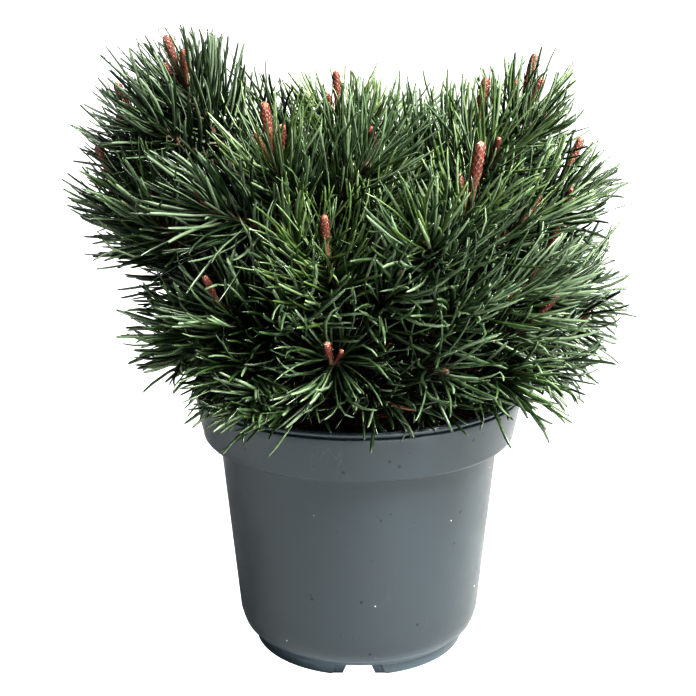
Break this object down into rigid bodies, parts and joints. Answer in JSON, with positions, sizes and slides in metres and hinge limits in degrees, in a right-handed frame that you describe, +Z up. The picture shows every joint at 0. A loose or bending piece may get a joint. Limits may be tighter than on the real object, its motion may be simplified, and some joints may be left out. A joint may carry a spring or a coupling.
{
  "type": "dwarf mountain pine in a nursery pot",
  "caption": "Low bushy mountain pine with upright shoots, long paired needles and red-brown buds, in a round tapered grey nursery pot filled with soil.",
  "frame": {"origin": "on the ground, under the middle of the plant, on the pot's axis", "axes": "+Z up, -Y towards the front that the picture shows, +X to the right"},
  "size_m": [0.3256, 0.2801, 0.3563],
  "materials": {
    "pot_plastic": "matte moulded blue-grey plastic with dust and small scuffs",
    "potting_soil": "dark crumbly moist potting soil with dead needles",
    "bark": "rough scaly grey-brown bark",
    "needles": "dark green waxy pine needles with a soft gloss"
  },
  "bodies": {
    "root": {"bough_back_centre": "bark", "bough_back_left": "bark", "bough_back_left_hem": "bark", "bough_back_left_top": "bark", "bough_back_right": "bark", "bough_back_right_hem": "bark", "bough_back_top": "bark", "bough_front_centre": "bark", "bough_front_hem": "bark", "bough_front_left_top": "bark", "bough_front_right_hem": "bark", "bough_left_far": "bark", "bough_left_hem": "bark", "bough_left_low": "bark", "bough_left_peak": "bark", "bough_left_shoulder": "bark", "bough_right_far": "bark", "bough_right_front": "bark", "bough_right_hem": "bark", "bough_right_inner": "bark", "bough_right_low": "bark", "bough_right_middle": "bark", "bough_right_peak": "bark", "bough_right_rosette": "bark", "bough_right_shoulder": "bark", "bough_top_centre": "bark", "needles_back_centre": "needles", "needles_back_left": "needles", "needles_back_left_hem": "needles", "needles_back_left_top": "needles", "needles_back_right": "needles", "needles_back_right_hem": "needles", "needles_back_top": "needles", "needles_front_centre": "needles", "needles_front_hem": "needles", "needles_front_left_top": "needles", "needles_front_right_hem": "needles", "needles_leader": "needles", "needles_left_far": "needles", "needles_left_hem": "needles", "needles_left_low": "needles", "needles_left_peak": "needles", "needles_left_shoulder": "needles", "needles_right_far": "needles", "needles_right_front": "needles", "needles_right_hem": "needles", "needles_right_inner": "needles", "needles_right_low": "needles", "needles_right_middle": "needles", "needles_right_peak": "needles", "needles_right_rosette": "needles", "needles_right_shoulder": "needles", "needles_top_centre": "needles", "pot": "pot_plastic", "soil": "potting_soil", "trunk": "bark"}
  },
  "joints": []
}
